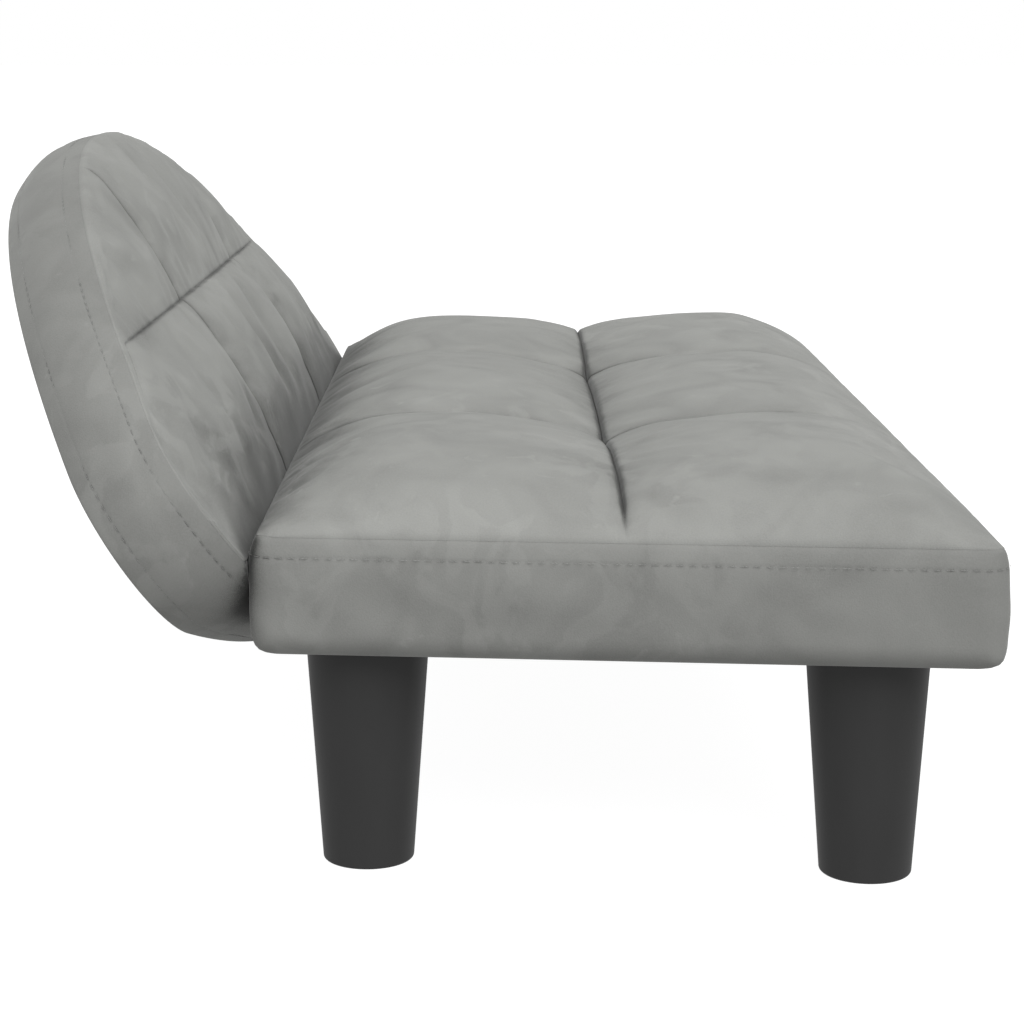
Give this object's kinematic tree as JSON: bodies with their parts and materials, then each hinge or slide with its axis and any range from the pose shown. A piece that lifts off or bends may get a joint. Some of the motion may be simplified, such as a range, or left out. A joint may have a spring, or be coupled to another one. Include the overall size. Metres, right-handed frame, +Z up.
{
  "type": "small daybed",
  "caption": "Very small armless upholstered daybed with a tufted flat seat, a reclined arched tufted back and tapered round legs.",
  "frame": {"origin": "on the floor, under the middle of the overall box", "axes": "+X along the length, -Y the front, +Z up"},
  "size_m": [0.7058, 0.4589, 0.3052],
  "materials": {
    "velvet": "brushed light warm grey velvet",
    "lining": "plain grey lining cloth",
    "dust_cover": "black spunbond",
    "foam": "open cell foam",
    "wood": "planed softwood",
    "plywood": "plywood",
    "leg": "satin dark grey moulded plastic",
    "steel": "zinc plated"
  },
  "bodies": {
    "root": {"leg_front_left": "leg", "leg_front_right": "leg", "leg_rear_left": "leg", "leg_rear_right": "leg", "leg_studs": "steel", "leg_t_nuts": "steel", "seat_front_rail": "wood", "seat_rear_rail": "wood", "seat_left_rail": "wood", "seat_right_rail": "wood", "seat_cross_rails": "wood", "seat_corner_blocks": "wood", "seat_deck": "plywood", "seat_foam": "foam", "seat_quilt": "velvet", "seat_boxing": "velvet", "seat_dust_cover": "dust_cover", "back_top_rail": "plywood", "back_bottom_rail": "wood", "back_left_post": "plywood", "back_right_post": "plywood", "back_uprights": "wood", "back_board": "plywood", "back_foam": "foam", "back_quilt": "velvet", "back_band": "velvet", "back_rear_panel": "velvet", "back_foot_lining": "lining", "back_screws": "steel", "back_washers": "steel"}
  },
  "joints": []
}
